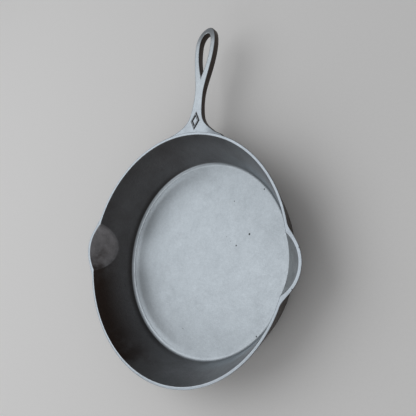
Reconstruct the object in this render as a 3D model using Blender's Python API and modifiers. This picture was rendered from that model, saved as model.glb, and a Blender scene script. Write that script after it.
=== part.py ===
"""Cast iron skillet with two pour spouts and a long handle that ends in a teardrop hanging eye.

The real pan is one iron casting. It is modelled here as its named regions, each a closed solid,
with a gap of 0.3 mm between neighbours. Metres, +Z up. The origin is on the pan's axis at the
underside of the base, the handle points along +Y and the spouts along -X and +X.
"""

import math

import bmesh
import bpy

# Bowl
TOTAL_HEIGHT = 0.0510
RIM_RADIUS = 0.1285
RIM_WIDTH = 0.0030
RIM_DEPTH = 0.0040
RIM_EDGE = 0.0006
BASE_LINE_RADIUS = 0.1102
FLOOR_THICKNESS = 0.0040
FLOOR_LINE_RADIUS = 0.1072
FLOOR_RADIUS = 0.1036
INNER_FILLET = 0.0050
OUTER_FILLET = 0.0085

# Pour spouts: each is a leaning round scoop through the wall
SPOUT_REACH = 0.1398
SPOUT_RADIUS = 0.0320
SPOUT_LIP = 0.0035
SPOUT_LEAN = 0.86
SPOUT_DROP = 0.0009
SPOUT_DEPTH = 0.0240
SPOUT_ANGLES = {"pour_spout_right": 0.0, "pour_spout_left": math.pi}

# Handle: distance from the pan's axis, then half the width there
HANDLE_HALF_WIDTHS = (
    (0.1120, 0.0550),
    (0.1160, 0.0522),
    (0.1198, 0.0480),
    (0.1235, 0.0408),
    (0.1284, 0.0306),
    (0.1319, 0.0250),
    (0.1353, 0.0200),
    (0.1385, 0.0158),
    (0.1430, 0.0116),
    (0.1480, 0.0089),
    (0.1540, 0.0073),
    (0.1640, 0.0062),
    (0.1740, 0.0057),
    (0.1800, 0.0060),
    (0.1860, 0.0068),
    (0.1930, 0.0081),
    (0.2000, 0.0095),
    (0.2080, 0.0110),
    (0.2160, 0.0123),
    (0.2240, 0.0131),
    (0.2310, 0.0133),
)
# Handle: distance from the pan's axis, then the thickness there
HANDLE_THICKNESSES = (
    (0.1100, 0.0190),
    (0.1200, 0.0165),
    (0.1300, 0.0130),
    (0.1400, 0.0092),
    (0.1500, 0.0070),
    (0.1640, 0.0061),
    (0.1800, 0.0067),
    (0.1940, 0.0073),
    (0.2060, 0.0077),
    (0.2550, 0.0077),
)
HANDLE_DROP = 0.0074
HANDLE_END_DROP = 0.0086
HANDLE_END = 0.2544
HANDLE_WIDEST = 0.2310
HANDLE_CORNER = 0.0016
WING_RISE = 0.0066
WING_START = 0.0140
WING_REACH = 0.0360
ROOT_START = 0.1140
SHANK_START = 0.1540
EYE_START = 0.1890

# Teardrop eye: distance from the pan's axis, then half the opening there
EYE_HALF_WIDTHS = (
    (0.1946, 0.0006),
    (0.1990, 0.0016),
    (0.2040, 0.0031),
    (0.2140, 0.0055),
    (0.2220, 0.0067),
    (0.2290, 0.0071),
    (0.2360, 0.0071),
)
EYE_WIDEST = 0.2320
EYE_END = 0.2464

# Raised lozenge on the handle's root
MARK_CENTRE = 0.1440
MARK_HALF_WIDTH = 0.0054
MARK_HALF_LENGTH = 0.0092
MARK_LINE = 0.0019
MARK_HEIGHT = 0.0006

GAP = 0.0003
TURN_STEPS = 96
SPOUT_STEPS = 72
CORNER_STEPS = 4
ACROSS_STEPS = 8
ARC_STEPS = 5
ABOVE = 0.0100
MERGE = 0.00001

# Places along the handle where its sections stand
ROOT_FINE_END = 0.1440
ROOT_FINE_STEP = 0.0025
ROOT_STEP = 0.0033
SHANK_STEP = 0.0050
OUTLINE_STEP = 0.0050
LOOP_END_STEPS = 8
EYE_END_STEPS = 6
EYE_EDGE_WIDTH = 0.0014
EYE_EDGE_STEPS = 2
EYE_EDGE_ANGLE = 50

FLOOR_IRON = ("polished_iron", (0.38, 0.42, 0.46, 1.0), 0.42)
WALL_IRON = ("wall_iron", (0.30, 0.32, 0.34, 1.0), 0.50)
RIM_IRON = ("ground_iron", (0.42, 0.46, 0.50, 1.0), 0.45)
HANDLE_IRON = ("cast_iron", (0.40, 0.44, 0.48, 1.0), 0.50)


# Small tools


def clear_scene():
    for old in list(bpy.data.objects):
        bpy.data.objects.remove(old, do_unlink=True)


def new_collection(name):
    made = bpy.data.collections.new(name)
    bpy.context.scene.collection.children.link(made)
    return made


def iron(name, kind):
    label, colour, roughness = kind
    material = bpy.data.materials.new(f"{name}_{label}")
    material.use_nodes = True
    shader = material.node_tree.nodes["Principled BSDF"]
    shader.inputs["Base Color"].default_value = colour
    shader.inputs["Metallic"].default_value = 0.85
    shader.inputs["Roughness"].default_value = roughness
    return material


def add_object(name, mesh, collection, kind):
    made = bpy.data.objects.new(name, mesh)
    made.data.materials.append(iron(name, kind))
    for face in made.data.polygons:
        face.use_smooth = True
    collection.objects.link(made)
    return made


def add_cutter(name, mesh, collection):
    made = bpy.data.objects.new(name, mesh)
    made.hide_render = True
    made.display_type = "WIRE"
    collection.objects.link(made)
    return made


def cut(target, cutter):
    modifier = target.modifiers.new(f"less_{cutter.name}", "BOOLEAN")
    modifier.operation = "DIFFERENCE"
    modifier.solver = "EXACT"
    modifier.object = cutter


def through_stations(stations, where):
    """A smooth curve through (place, value) stations, by Catmull-Rom pieces."""
    places = [place for place, _ in stations]
    values = [value for _, value in stations]
    last = len(stations) - 1
    if where <= places[0]:
        return values[0]
    if where >= places[last]:
        return values[last]
    index = next(i for i in range(last) if where <= places[i + 1])
    step = places[index + 1] - places[index]
    share = (where - places[index]) / step
    slopes = []
    for i in (index, index + 1):
        low, high = max(i - 1, 0), min(i + 1, last)
        slopes.append((values[high] - values[low]) / (places[high] - places[low]) * step)
    square, cube = share * share, share**3
    return (
        (2 * cube - 3 * square + 1) * values[index]
        + (cube - 2 * square + share) * slopes[0]
        + (3 * square - 2 * cube) * values[index + 1]
        + (cube - square) * slopes[1]
    )


def smooth_step(share):
    share = min(max(share, 0.0), 1.0)
    return share * share * (3 - 2 * share)


# Turned shapes


def inner_line(height):
    """The radius of the bowl's inner wall at a height."""
    top, bottom = RIM_RADIUS - RIM_WIDTH, FLOOR_LINE_RADIUS
    rise = (height - FLOOR_THICKNESS) / (TOTAL_HEIGHT - FLOOR_THICKNESS)
    return bottom + (top - bottom) * rise


def outer_line(height):
    """The radius of the bowl's outer wall at a height."""
    return BASE_LINE_RADIUS + (RIM_RADIUS - BASE_LINE_RADIUS) * height / TOTAL_HEIGHT


def corner_arc(corner_radius, height, top_radius, top_height, fillet):
    """Points round the corner between a level line and a wall that leans outwards."""
    lean = math.atan2(top_radius - corner_radius, top_height - height)
    half_turn = (math.pi / 2 - lean) / 2
    centre_radius = corner_radius - fillet * math.tan(half_turn)
    centre_height = height + fillet
    points = []
    for i in range(ARC_STEPS + 1):
        turn = 2 * half_turn * i / ARC_STEPS
        radius = centre_radius + fillet * math.sin(turn)
        points.append((radius, centre_height - fillet * math.cos(turn)))
    return points


def turned(name, profile, closed, collection, kind=None):
    """Turns a profile of (radius, height) points round Z. Its outer side runs downwards."""
    mesh = bpy.data.meshes.new(name)
    count = len(profile)
    edges = [(i, i + 1) for i in range(count - 1)]
    if closed:
        edges.append((count - 1, 0))
    mesh.from_pydata([(radius, 0, height) for radius, height in profile], edges, [])
    if kind:
        made = add_object(name, mesh, collection, kind)
    else:
        made = add_cutter(name, mesh, collection)
    screw = made.modifiers.new("turn", "SCREW")
    screw.axis = "Z"
    screw.angle = 2 * math.pi
    screw.steps = TURN_STEPS
    screw.render_steps = TURN_STEPS
    screw.use_smooth_shade = True
    screw.use_merge_vertices = True
    screw.merge_threshold = MERGE
    return made


def make_floor(collection):
    profile = [
        (0, FLOOR_THICKNESS),
        (FLOOR_RADIUS / 2, FLOOR_THICKNESS),
        (FLOOR_RADIUS, FLOOR_THICKNESS),
        (FLOOR_RADIUS, 0),
        (FLOOR_RADIUS / 2, 0),
        (0, 0),
    ]
    return turned("cooking_floor", profile, False, collection, FLOOR_IRON)


def make_side_wall(collection):
    top = TOTAL_HEIGHT - RIM_DEPTH - GAP
    inside = corner_arc(
        FLOOR_LINE_RADIUS, FLOOR_THICKNESS, inner_line(top), top, INNER_FILLET
    )
    outside = corner_arc(BASE_LINE_RADIUS, 0, outer_line(top), top, OUTER_FILLET)
    edge = FLOOR_RADIUS + GAP
    inside[0] = (edge, FLOOR_THICKNESS)
    profile = [(outer_line(top), top), *reversed(outside), (edge, 0)]
    profile += [*inside, (inner_line(top), top)]
    return turned("side_wall", profile, True, collection, WALL_IRON)


def make_rim(name, side, collection, cutters):
    """Half of the rim band: side is +1 for the handle's half and -1 for the front half."""
    top, bottom = TOTAL_HEIGHT, TOTAL_HEIGHT - RIM_DEPTH
    profile = [
        (outer_line(top) - RIM_EDGE, top),
        (outer_line(top), top - RIM_EDGE),
        (outer_line(bottom), bottom),
        (inner_line(bottom), bottom),
        (inner_line(top), top - RIM_EDGE),
        (inner_line(top) + RIM_EDGE, top),
    ]
    rim = turned(name, profile, True, collection, RIM_IRON)
    reach = 2 * RIM_RADIUS
    block = bmesh.new()
    bmesh.ops.create_cube(block, size=reach)
    bmesh.ops.translate(block, verts=block.verts, vec=(0, -side * reach / 2, 0))
    mesh = bpy.data.meshes.new(f"{name}_cutter")
    block.to_mesh(mesh)
    block.free()
    cut(rim, add_cutter(f"{name}_cutter", mesh, cutters))
    return rim


def bowl_envelope(cutters):
    """The whole bowl and its inside as one solid, a gap larger, that neighbours are cut by."""
    low, high = -ABOVE, TOTAL_HEIGHT + ABOVE
    profile = [
        (0, high),
        (outer_line(high) + GAP, high),
        (outer_line(low) + GAP, low),
        (0, low),
    ]
    return turned("bowl_envelope", profile, False, cutters)


# Pour spouts


def leaning_cylinder(name, radius, low, high):
    """A cylinder whose level cross-sections stay round while its axis leans towards +X."""
    shape = bmesh.new()
    bmesh.ops.create_cone(
        shape,
        cap_ends=True,
        segments=SPOUT_STEPS,
        radius1=radius,
        radius2=radius,
        depth=high - low,
    )
    lip_height = TOTAL_HEIGHT - SPOUT_DROP
    axis_at_lip = SPOUT_REACH - SPOUT_LIP - SPOUT_RADIUS
    for vertex in shape.verts:
        vertex.co.z += (high + low) / 2
        vertex.co.x += axis_at_lip + SPOUT_LEAN * (vertex.co.z - lip_height)
    mesh = bpy.data.meshes.new(name)
    shape.to_mesh(mesh)
    shape.free()
    return mesh


def make_scoop_cutter(name, angle, radius, cutters):
    low, high = TOTAL_HEIGHT - SPOUT_DEPTH - ABOVE, TOTAL_HEIGHT + ABOVE
    scoop = add_cutter(name, leaning_cylinder(name, radius, low, high), cutters)
    scoop.rotation_euler.z = angle
    return scoop


def make_spout(name, angle, scoop, envelope, collection):
    low, high = TOTAL_HEIGHT - SPOUT_DEPTH, TOTAL_HEIGHT - SPOUT_DROP
    mesh = leaning_cylinder(name, SPOUT_RADIUS + SPOUT_LIP, low, high)
    spout = add_object(name, mesh, collection, RIM_IRON)
    spout.rotation_euler.z = angle
    cut(spout, scoop)
    cut(spout, envelope)
    return spout


# Handle


def handle_half_width(place):
    if place <= HANDLE_WIDEST:
        return through_stations(HANDLE_HALF_WIDTHS, place)
    share = (place - HANDLE_WIDEST) / (HANDLE_END - HANDLE_WIDEST)
    return HANDLE_HALF_WIDTHS[-1][1] * math.sqrt(max(1 - share * share, 0))


def handle_top(side, place):
    """The height of the handle's upper face, whose two wings climb to the rim."""
    share = (place - RIM_RADIUS) / (HANDLE_END - RIM_RADIUS)
    drop = HANDLE_DROP + (HANDLE_END_DROP - HANDLE_DROP) * min(max(share, 0), 1)
    rise = WING_RISE * smooth_step((abs(side) - WING_START) / WING_REACH)
    return TOTAL_HEIGHT - drop + rise


def handle_section(place):
    """One closed ring round the handle, square to its length, with rounded corners."""
    half = handle_half_width(place)
    low = handle_top(0, place) - through_stations(HANDLE_THICKNESSES, place)
    corner = min(HANDLE_CORNER, half * 0.6)
    ring = []
    for quarter, (side, upper) in enumerate(((1, 1), (-1, 1), (-1, 0), (1, 0))):
        for i in range(CORNER_STEPS + 1):
            turn = (quarter + i / CORNER_STEPS) * math.pi / 2
            across = side * (half - corner) + corner * math.cos(turn)
            level = handle_top(across, place) - corner if upper else low + corner
            ring.append((across, place, level + corner * math.sin(turn)))
        if quarter == 0:
            for i in range(1, ACROSS_STEPS):
                across = (half - corner) * (1 - 2 * i / ACROSS_STEPS)
                ring.append((across, place, handle_top(across, place)))
    return ring


def loft(name, rings, collection, kind):
    """A closed solid through rings that hold the same number of points."""
    shape = bmesh.new()
    rows = [[shape.verts.new(point) for point in ring] for ring in rings]
    count = len(rows[0])
    for row, ahead in zip(rows, rows[1:]):
        for i in range(count):
            j = (i + 1) % count
            shape.faces.new((row[i], row[j], ahead[j], ahead[i]))
    shape.faces.new(rows[0])
    shape.faces.new(rows[-1])
    bmesh.ops.recalc_face_normals(shape, faces=shape.faces)
    bmesh.ops.triangulate(shape, faces=[f for f in shape.faces if len(f.verts) > 4])
    mesh = bpy.data.meshes.new(name)
    shape.to_mesh(mesh)
    shape.free()
    return add_object(name, mesh, collection, kind)


def places_between(low, high, step):
    count = max(round((high - low) / step), 1)
    return [low + (high - low) * i / count for i in range(count + 1)]


def make_handle_root(envelope, collection):
    places = places_between(ROOT_START, ROOT_FINE_END, ROOT_FINE_STEP)
    places += places_between(ROOT_FINE_END, SHANK_START - GAP, ROOT_STEP)[1:]
    rings = [handle_section(place) for place in places]
    root = loft("handle_root", rings, collection, HANDLE_IRON)
    cut(root, envelope)
    return root


def make_handle_shank(collection):
    places = places_between(SHANK_START, EYE_START - GAP, SHANK_STEP)
    rings = [handle_section(place) for place in places]
    return loft("handle_shank", rings, collection, HANDLE_IRON)


def outline_spline(curve, points):
    spline = curve.splines.new("POLY")
    spline.points.add(len(points) - 1)
    for point, (across, place) in zip(spline.points, points):
        point.co = (across, place, 0, 1)
    spline.use_cyclic_u = True


def mirrored_outline(side_points):
    """A closed outline from its +X side, which runs from one end to the other."""
    return side_points + [(-x, y) for x, y in reversed(side_points) if x > 0]


def loop_outline():
    places = places_between(EYE_START, HANDLE_WIDEST, OUTLINE_STEP)
    side = [(handle_half_width(place), place) for place in places]
    for i in range(1, LOOP_END_STEPS + 1):
        turn = i / LOOP_END_STEPS * math.pi / 2
        reach = HANDLE_END - HANDLE_WIDEST
        across = HANDLE_HALF_WIDTHS[-1][1] * math.cos(turn)
        side.append((across if i < LOOP_END_STEPS else 0, HANDLE_WIDEST + reach * math.sin(turn)))
    return mirrored_outline(side)


def eye_outline():
    places = places_between(EYE_HALF_WIDTHS[0][0], EYE_WIDEST, OUTLINE_STEP)
    side = [(through_stations(EYE_HALF_WIDTHS, place), place) for place in places]
    reach = EYE_END - EYE_WIDEST
    for i in range(1, EYE_END_STEPS + 1):
        turn = i / EYE_END_STEPS * math.pi / 2
        across = EYE_HALF_WIDTHS[-1][1] * math.cos(turn)
        side.append((across if i < EYE_END_STEPS else 0, EYE_WIDEST + reach * math.sin(turn)))
    return mirrored_outline(side)


def make_handle_eye(collection):
    curve = bpy.data.curves.new("handle_eye_outline", "CURVE")
    curve.dimensions = "2D"
    curve.fill_mode = "BOTH"
    outline_spline(curve, loop_outline())
    outline_spline(curve, eye_outline())
    thickness = through_stations(HANDLE_THICKNESSES, HANDLE_WIDEST)
    curve.extrude = thickness / 2
    guide = bpy.data.objects.new("handle_eye_outline", curve)
    collection.objects.link(guide)
    guide.location.z = handle_top(0, HANDLE_WIDEST) - thickness / 2
    bpy.context.view_layer.update()
    evaluated = guide.evaluated_get(bpy.context.evaluated_depsgraph_get())
    mesh = bpy.data.meshes.new_from_object(evaluated)
    shape = bmesh.new()
    shape.from_mesh(mesh)
    bmesh.ops.remove_doubles(shape, verts=shape.verts, dist=MERGE)
    shape.to_mesh(mesh)
    shape.free()
    eye = add_object("handle_eye", mesh, collection, HANDLE_IRON)
    eye.matrix_world = guide.matrix_world
    bpy.data.objects.remove(guide, do_unlink=True)
    bevel = eye.modifiers.new("round_edges", "BEVEL")
    bevel.width = EYE_EDGE_WIDTH
    bevel.segments = EYE_EDGE_STEPS
    bevel.limit_method = "ANGLE"
    bevel.angle_limit = math.radians(EYE_EDGE_ANGLE)
    return eye


def lozenge(name, grow, low, high):
    """A four-sided prism with its corners on X and Y."""
    shape = bmesh.new()
    bmesh.ops.create_cone(
        shape, cap_ends=True, segments=4, radius1=1, radius2=1, depth=high - low
    )
    for vertex in shape.verts:
        vertex.co.x *= MARK_HALF_WIDTH + grow
        vertex.co.y *= MARK_HALF_LENGTH + grow * MARK_HALF_LENGTH / MARK_HALF_WIDTH
        vertex.co.z += (high + low) / 2
    mesh = bpy.data.meshes.new(name)
    shape.to_mesh(mesh)
    shape.free()
    return mesh


def make_size_mark(collection, cutters):
    mark = add_object("size_mark", lozenge("size_mark", 0, 0, MARK_HEIGHT), collection, HANDLE_IRON)
    hollow = lozenge("mark_hollow", -MARK_LINE, -MARK_HEIGHT, 2 * MARK_HEIGHT)
    hollow = add_cutter("mark_hollow", hollow, cutters)
    for made in (mark, hollow):
        made.location = (0, MARK_CENTRE, handle_top(0, MARK_CENTRE) + GAP)
    cut(mark, hollow)
    return mark


def main():
    clear_scene()
    skillet = new_collection("cast_iron_skillet")
    cutters = new_collection("cutters")
    envelope = bowl_envelope(cutters)

    body = [make_floor(skillet), make_side_wall(skillet)]
    rims = [
        make_rim("rim_back", 1, skillet, cutters),
        make_rim("rim_front", -1, skillet, cutters),
    ]
    for name, angle in SPOUT_ANGLES.items():
        scoop = make_scoop_cutter(f"{name}_scoop", angle, SPOUT_RADIUS, cutters)
        for piece in (body[1], *rims):
            cut(piece, scoop)
        body.append(make_spout(name, angle, scoop, envelope, skillet))

    body += rims
    body += [
        make_handle_root(envelope, skillet),
        make_handle_shank(skillet),
        make_handle_eye(skillet),
        make_size_mark(skillet, cutters),
    ]
    frame = bpy.data.objects.new("skillet_frame", None)
    skillet.objects.link(frame)
    for piece in body:
        piece.parent = frame


main()
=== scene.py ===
"""The looks of the cast iron skillet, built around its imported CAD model.

The real pan is a single casting. Its surface is worked out here as one continuous skin, which is
then shared out between closed pieces, one for each CAD node. Neighbouring pieces take their
shading from the whole skin, so no joint shows between them. Metres, in the CAD model's frame.
"""

import math

import bmesh
import bpy
import numpy as np
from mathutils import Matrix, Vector
from mathutils.kdtree import KDTree


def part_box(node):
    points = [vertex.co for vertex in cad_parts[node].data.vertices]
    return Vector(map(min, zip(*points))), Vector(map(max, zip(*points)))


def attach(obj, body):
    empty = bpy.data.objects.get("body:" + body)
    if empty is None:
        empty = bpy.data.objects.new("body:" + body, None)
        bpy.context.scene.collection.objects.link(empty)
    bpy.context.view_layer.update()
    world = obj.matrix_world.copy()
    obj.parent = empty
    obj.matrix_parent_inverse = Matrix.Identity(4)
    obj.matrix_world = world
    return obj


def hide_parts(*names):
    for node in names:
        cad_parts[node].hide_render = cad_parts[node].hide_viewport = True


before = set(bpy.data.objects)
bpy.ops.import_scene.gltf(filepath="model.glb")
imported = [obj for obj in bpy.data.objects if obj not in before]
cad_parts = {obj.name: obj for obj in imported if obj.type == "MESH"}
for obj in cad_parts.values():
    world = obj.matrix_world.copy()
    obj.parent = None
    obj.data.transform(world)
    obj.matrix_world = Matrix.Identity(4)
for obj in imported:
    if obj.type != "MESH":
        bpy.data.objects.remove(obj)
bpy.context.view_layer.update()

# Places and sizes that the CAD model gives
RIM_RADIUS, TOTAL_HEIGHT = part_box("rim_back")[1].yz
FLOOR_RADIUS, FLOOR_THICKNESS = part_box("cooking_floor")[1].xz
SPOUT_REACH, LIP_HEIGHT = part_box("pour_spout_right")[1].xz
SHANK_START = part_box("handle_shank")[0].y
EYE_LOW, EYE_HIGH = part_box("handle_eye")
EYE_START = EYE_LOW.y
HANDLE_HALF, HANDLE_END = EYE_HIGH.xy
MARK_LOW, MARK_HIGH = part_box("size_mark")
MARK_MIDDLE = (MARK_LOW + MARK_HIGH) / 2
MARK_HALF = (MARK_HIGH - MARK_LOW) / 2

# Bowl
RIM_WIDTH = 0.0030
RIM_DEPTH = 0.0040
RIM_EDGE = 0.0007
BASE_LINE_RADIUS = 0.1102
FLOOR_LINE_RADIUS = 0.1072
INNER_FILLET = 0.0050
OUTER_FILLET = 0.0085

# Pour spouts
SPOUT_RADIUS = 0.0320
SPOUT_LIP = 0.0035
SPOUT_LEAN = 0.86
SPOUT_DEPTH = 0.0240
SPOUT_SPAN = math.radians(18)
DIP_FROM = math.radians(8)
DIP_TO = math.radians(14)
INNER_BLEND = 0.0010
OUTER_BLEND = 0.0070

# Handle: distance from the pan's axis, then half the width there
HALF_WIDTHS = (
    (0.1120, 0.0550), (0.1160, 0.0522), (0.1198, 0.0480),
    (0.1235, 0.0408), (0.1284, 0.0306), (0.1319, 0.0250),
    (0.1353, 0.0200), (0.1385, 0.0158), (0.1430, 0.0116),
    (0.1480, 0.0089), (0.1540, 0.0073), (0.1640, 0.0062),
    (0.1740, 0.0057), (0.1800, 0.0060), (0.1860, 0.0068),
    (0.1930, 0.0081), (0.2000, 0.0095), (0.2080, 0.0110),
    (0.2160, 0.0123), (0.2240, 0.0131), (0.2310, 0.0133),
)
# Handle: distance from the pan's axis, then the thickness of its edge there
THICKNESSES = (
    (0.1170, 0.0024), (0.1220, 0.0032), (0.1280, 0.0046),
    (0.1340, 0.0060), (0.1410, 0.0068), (0.1540, 0.0067),
    (0.1640, 0.0061), (0.1800, 0.0067), (0.1940, 0.0073),
    (0.2060, 0.0077),
)
HANDLE_DROP = 0.0074
HANDLE_END_DROP = 0.0086
HANDLE_WIDEST = 0.2310
TOP_ROUNDING = 0.0011
ROOT_FILLET = 0.0026
WING_RISE = 0.0066
WING_START = 0.0140
WING_REACH = 0.0360
WING_GAP = 0.0001
GUSSET_DEPTH = 0.0250
GUSSET_TIP_DEPTH = 0.0045
GUSSET_REACH = 0.0480
NOSE_START = 0.2340
NOSE_DROP = 0.0030
SEAM_PROUD = 0.00012
SEAM_HALF = 0.0005
# The most of the thickness, and of the flange's width, that a rounding or a fillet takes
THICKNESS_SHARE = 0.4
WIDTH_SHARE = 0.45
# How far the gusset's hollow curve is drawn in along the flange, and up the wall
GUSSET_PULL = 0.62
GUSSET_RISE = 0.60

# Teardrop eye: distance from the pan's axis, then half the opening there
EYE_TIP = 0.1946
EYE_HALF_WIDTHS = (
    (0.1946, 0.0000), (0.1965, 0.0006), (0.1990, 0.0015),
    (0.2040, 0.0031), (0.2140, 0.0055), (0.2220, 0.0067),
    (0.2290, 0.0071), (0.2360, 0.0071),
)
EYE_WIDEST = 0.2320
EYE_END = 0.2464
EYE_TIP_BLEND = 0.006
GROOVE_SHARE = 0.25

# Raised lozenge on the root
MARK_LINE = 0.0019
MARK_SUNK = 0.0003
MARK_SLOPE = 0.00025
MARK_STEPS = 8

# How finely the skin is divided
SPOUT_COLUMNS = 90
PLAIN_COLUMN = math.radians(1.5)
ROOT_HALF_COLUMNS = 77
SHANK_HALF_COLUMNS = 8
WING_BLEND_COLUMNS = 14
FLOOR_SHARES = (0, 0.15, 0.3, 0.45, 0.6, 0.75, 0.88, 1.0)
ARC_STEPS = 6
LOW_WALL_STEPS = 8
HIGH_WALL_STEPS = 36
RIM_STEPS = 6
ROUND_STEPS = 4
FLAT_STEPS = 4
FILLET_STEPS = 6
TOP_STEPS = 14
UNDER_STEPS = 16
SHANK_STEPS = 24
EYE_STEPS = 40
LOOP_STEPS = 22
FLAT_ROWS = 4
WING_SAMPLES = 400
CORNER_PASSES = 3
SLOPE_STEP = 0.0001
SPOUT_NUDGE = math.radians(1e-3)
MERGE = 1e-7

# Where the mask of each region of the casting goes from 0 to 1: heights, distances past the
# radius of the floor, rim or scoop, and how far a face looks inwards or up
BASE_SPAN = (0.001, 0.003)
FLOOR_FADE = 0.0010
INSIDE_SPAN = (0.0130, 0.0110)
INWARD_SPAN = (-0.2, -0.6)
RIM_FADE = 0.002
UPWARD_SPAN = (0.70, 0.95)
TOP_SPAN = (0.030, 0.034)
SCOOP_SPAN = (-0.0014, -0.0004)
SCOOP_END_SPAN = (0.0008, 0.0016)
# Iron: colours as linear shares of the light, angles in degrees round the pan, and spans over
# which one colour gives way to the next, in metres or in a mask's or noise's own value
FLOOR_COLOUR = (0.430, 0.477, 0.518)
# Painted shade: the floor turns darker towards one side
SHADED_FLOOR_COLOUR = (0.375, 0.417, 0.453)
FLOOR_SHADE_ANGLE = 60
FLOOR_SHADE_SPAN = (0.020, 0.100)
# On the left side the floor has a painted highlight towards its edge, up to painted shade on its
# crest
BAND_LIGHT = 1.88
BAND_SPAN = (0.0955, 0.1024)
CREST_SHADE = 0.55
CREST_SPAN = (0.1030, 0.1043)
# Painted highlight: the rim's colour turns lighter towards one side
RIM_COLOUR = (0.42, 0.47, 0.52)
RIM_HIGHLIGHT_COLOUR = (0.51, 0.57, 0.63)
RIM_ANGLE = 30
# Painted highlight: the handle's top is lighter out along the shank
HANDLE_HIGHLIGHT_COLOUR = (0.55, 0.61, 0.66)
HANDLE_HIGHLIGHT_SPAN = (0.125, 0.190)
# Painted shade: the handle's end is darker
END_SHADE_COLOUR = (0.36, 0.39, 0.42)
END_SHADE_SPAN = (0.225, 0.252)
CAST_COLOUR = (0.080, 0.067, 0.060)
WALL_COLOUR = (0.178, 0.178, 0.183)
# Painted light: the inner wall is lighter towards one side, and lighter still at its foot there
LIT_WALL_COLOUR = (0.380, 0.390, 0.405)
LIT_FOOT_COLOUR = (0.52, 0.57, 0.61)
LIT_SIDE_ANGLE = -4
# The left side, which gets painted light and shade at the floor's edge and painted shade at the
# wall's foot
LEFT_SIDE_ANGLE = 184
LIT_SIDE_SPAN = (-0.065, 0.095)
LIT_FOOT_SPAN = (0.030, 0.008)
# Painted shade in the corner at the inner wall's foot
CORNER_SHADE_COLOUR = (0.080, 0.078, 0.078)
CORNER_SHADE_SPAN = (0.013, 0.007)
RIM_SHADE = 0.78
RIM_SHADE_SPAN = (0.028, 0.048)
SCOOP_COLOUR = (0.248, 0.242, 0.252)
# How far the painted shade patch keeps the scoops' colour away
SCOOP_SHADE_PATCH_SPAN = (0.62, 0.95)
SCOOP_IN_SHADE_PATCH = 0.10
SCOOP_GRAIN = (120, 0.22, 5)
# Painted light: the scoops are lighter towards one side
LIT_SCOOP_COLOUR = (0.410, 0.430, 0.440)
# Random darker mottling of the wall, and a painted shade patch on one side near the rim
MOTTLE_AND_SHADE_COLOUR = (0.055, 0.040, 0.034)
SHADE_PATCH_ANGLE = 216
SHADE_PATCH_SPAN = (1.70, 1.97)
SHADE_PATCH_RISE = (0.008, 0.046)
SHADE_PATCH_GRAIN = (45, 0.10, 4)
SIDE_SPAN = (0.000, 0.080)
CLOUD_GRAIN = (22, 4, 0.6)
CLOUD_SPAN = (0.40, 0.66)
CLOUD_SHARE = 0.22
# Painted shade round the raised lozenge: how far from its line, as shares of its half width, and
# how far down
MARK_SHADE_COLOUR = (0.085, 0.080, 0.080)
MARK_SHADE_SPAN = (0.42, 0.252)
MARK_SHADE_CREST = (0.06, 0.16)
MARK_SHADE_ON_CREST = 0.40
MARK_SHADE_DEPTHS = (0.0030, 0.0020)
PIT_COLOUR = (0.02, 0.02, 0.02)
PIT_SCALE = 75.0
PIT_CHANCE = (0.955, 0.965)
PIT_EDGE = (0.07, 0.035)
# Larger pinholes on the ground faces: across, along, and radius
BLEMISHES = (
    (0.0577, 0.0290, 0.0010), (0.0430, 0.0163, 0.0008), (0.0348, 0.0636, 0.0005),
    (0.0352, 0.0205, 0.0003), (0.0295, 0.0251, 0.0003), (0.0391, 0.0262, 0.0002),
    (0.0702, 0.0759, 0.0007), (0.0772, -0.0701, 0.0007), (-0.0150, -0.0783, 0.0005),
    (0.1360, 0.0151, 0.0006), (0.1328, -0.0199, 0.0005),
)
BLEMISH_EDGE = 0.0003
GROUND_ROUGHNESS = 0.40
CAST_ROUGHNESS = 0.50
# Noise: its scale, how far it changes the value, and its detail. Sand: scale and detail
COLOUR_GRAINS = ((12, 0.035, 2), (60, 0.025, 4), (260, 0.045, 3), (1100, 0.09, 2))
ROUGHNESS_GRAINS = ((70, 0.10, 4), (900, 0.12, 2))
NOISE_SPAN = (0.25, 0.75)
FINE_SAND = (950, 2)
COARSE_SAND = (300, 3)
SAND_DEPTH = 0.0003
CAST_BUMP = 0.70
GROUND_BUMP = 0.22

# Studio lamps: direction from the pan, distance, diameter and power
SOFTBOXES = {
    "main_softbox": ((-0.50, 0.15, 0.85), 1.3, 1.45, 5.2),
    "fill_softbox": ((-0.25, -0.82, 0.52), 1.4, 1.2, 2.6),
}
WORLD_COLOUR = (0.32, 0.32, 0.32)
PAPER_COLOUR = (0.86, 0.86, 0.86)
PAPER_GRAIN = (400, 0.01, 3)
PAPER_ROUGHNESS = 0.9
STUDIO_SIZE = 24.0
STUDIO_GAP = 0.0002
# Camera: focal length in millimetres, place in metres and turns in degrees
CAMERA_LENS = 37.21
CAMERA_PLACE = (0.29253, -0.01198, 0.37860)
CAMERA_TURNS = (13.0845, 36.7463, 8.1377)

MIRROR = np.array([-1, 1, 1])
QUARTER = math.pi / 2
SHANK_COLUMNS = range(
    ROOT_HALF_COLUMNS - SHANK_HALF_COLUMNS, ROOT_HALF_COLUMNS + SHANK_HALF_COLUMNS + 1
)


# Curves and blends


def through_stations(stations, where):
    """A smooth curve through (place, value) stations, by Catmull-Rom pieces."""
    places = [place for place, _ in stations]
    values = [value for _, value in stations]
    last = len(stations) - 1
    if where <= places[0]:
        return values[0]
    if where >= places[last]:
        return values[last]
    index = next(i for i in range(last) if where <= places[i + 1])
    step = places[index + 1] - places[index]
    share = (where - places[index]) / step
    slopes = []
    for i in (index, index + 1):
        low, high = max(i - 1, 0), min(i + 1, last)
        slopes.append((values[high] - values[low]) / (places[high] - places[low]) * step)
    square, cube = share * share, share**3
    return (
        (2 * cube - 3 * square + 1) * values[index]
        + (cube - 2 * square + share) * slopes[0]
        + (3 * square - 2 * cube) * values[index + 1]
        + (cube - square) * slopes[1]
    )


def smooth_step(share):
    share = np.clip(share, 0, 1)
    return share * share * (3 - 2 * share)


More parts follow.
